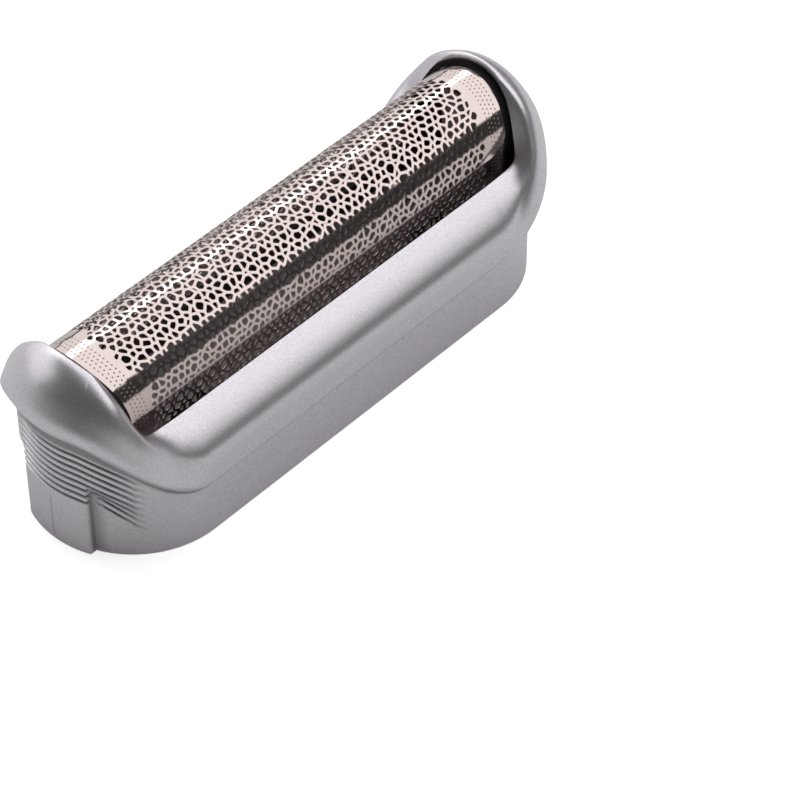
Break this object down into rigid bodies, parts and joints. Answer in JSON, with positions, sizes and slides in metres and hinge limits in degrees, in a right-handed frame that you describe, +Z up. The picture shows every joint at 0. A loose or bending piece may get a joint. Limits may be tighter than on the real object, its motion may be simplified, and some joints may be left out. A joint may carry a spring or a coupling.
{
  "type": "shaver foil head",
  "caption": "Push-fit shaver head: a silver frame with domed ribbed ends round a perforated metal foil bent over a black carrier, open below to take the cutter.",
  "frame": {"origin": "middle of the head on the flat rim it stands on", "axes": "+X along the head, +Y across it, +Z up from the rim towards the foil"},
  "size_m": [0.0576, 0.0194, 0.0192],
  "materials": {
    "silver_paint": "satin metallic silver paint over moulded plastic",
    "foil_metal": "polished electroformed nickel with a warm tint",
    "black_plastic": "matt moulded black plastic"
  },
  "bodies": {
    "root": {"frame": "silver_paint", "foil": "foil_metal", "foil_carrier": "black_plastic"}
  },
  "joints": []
}
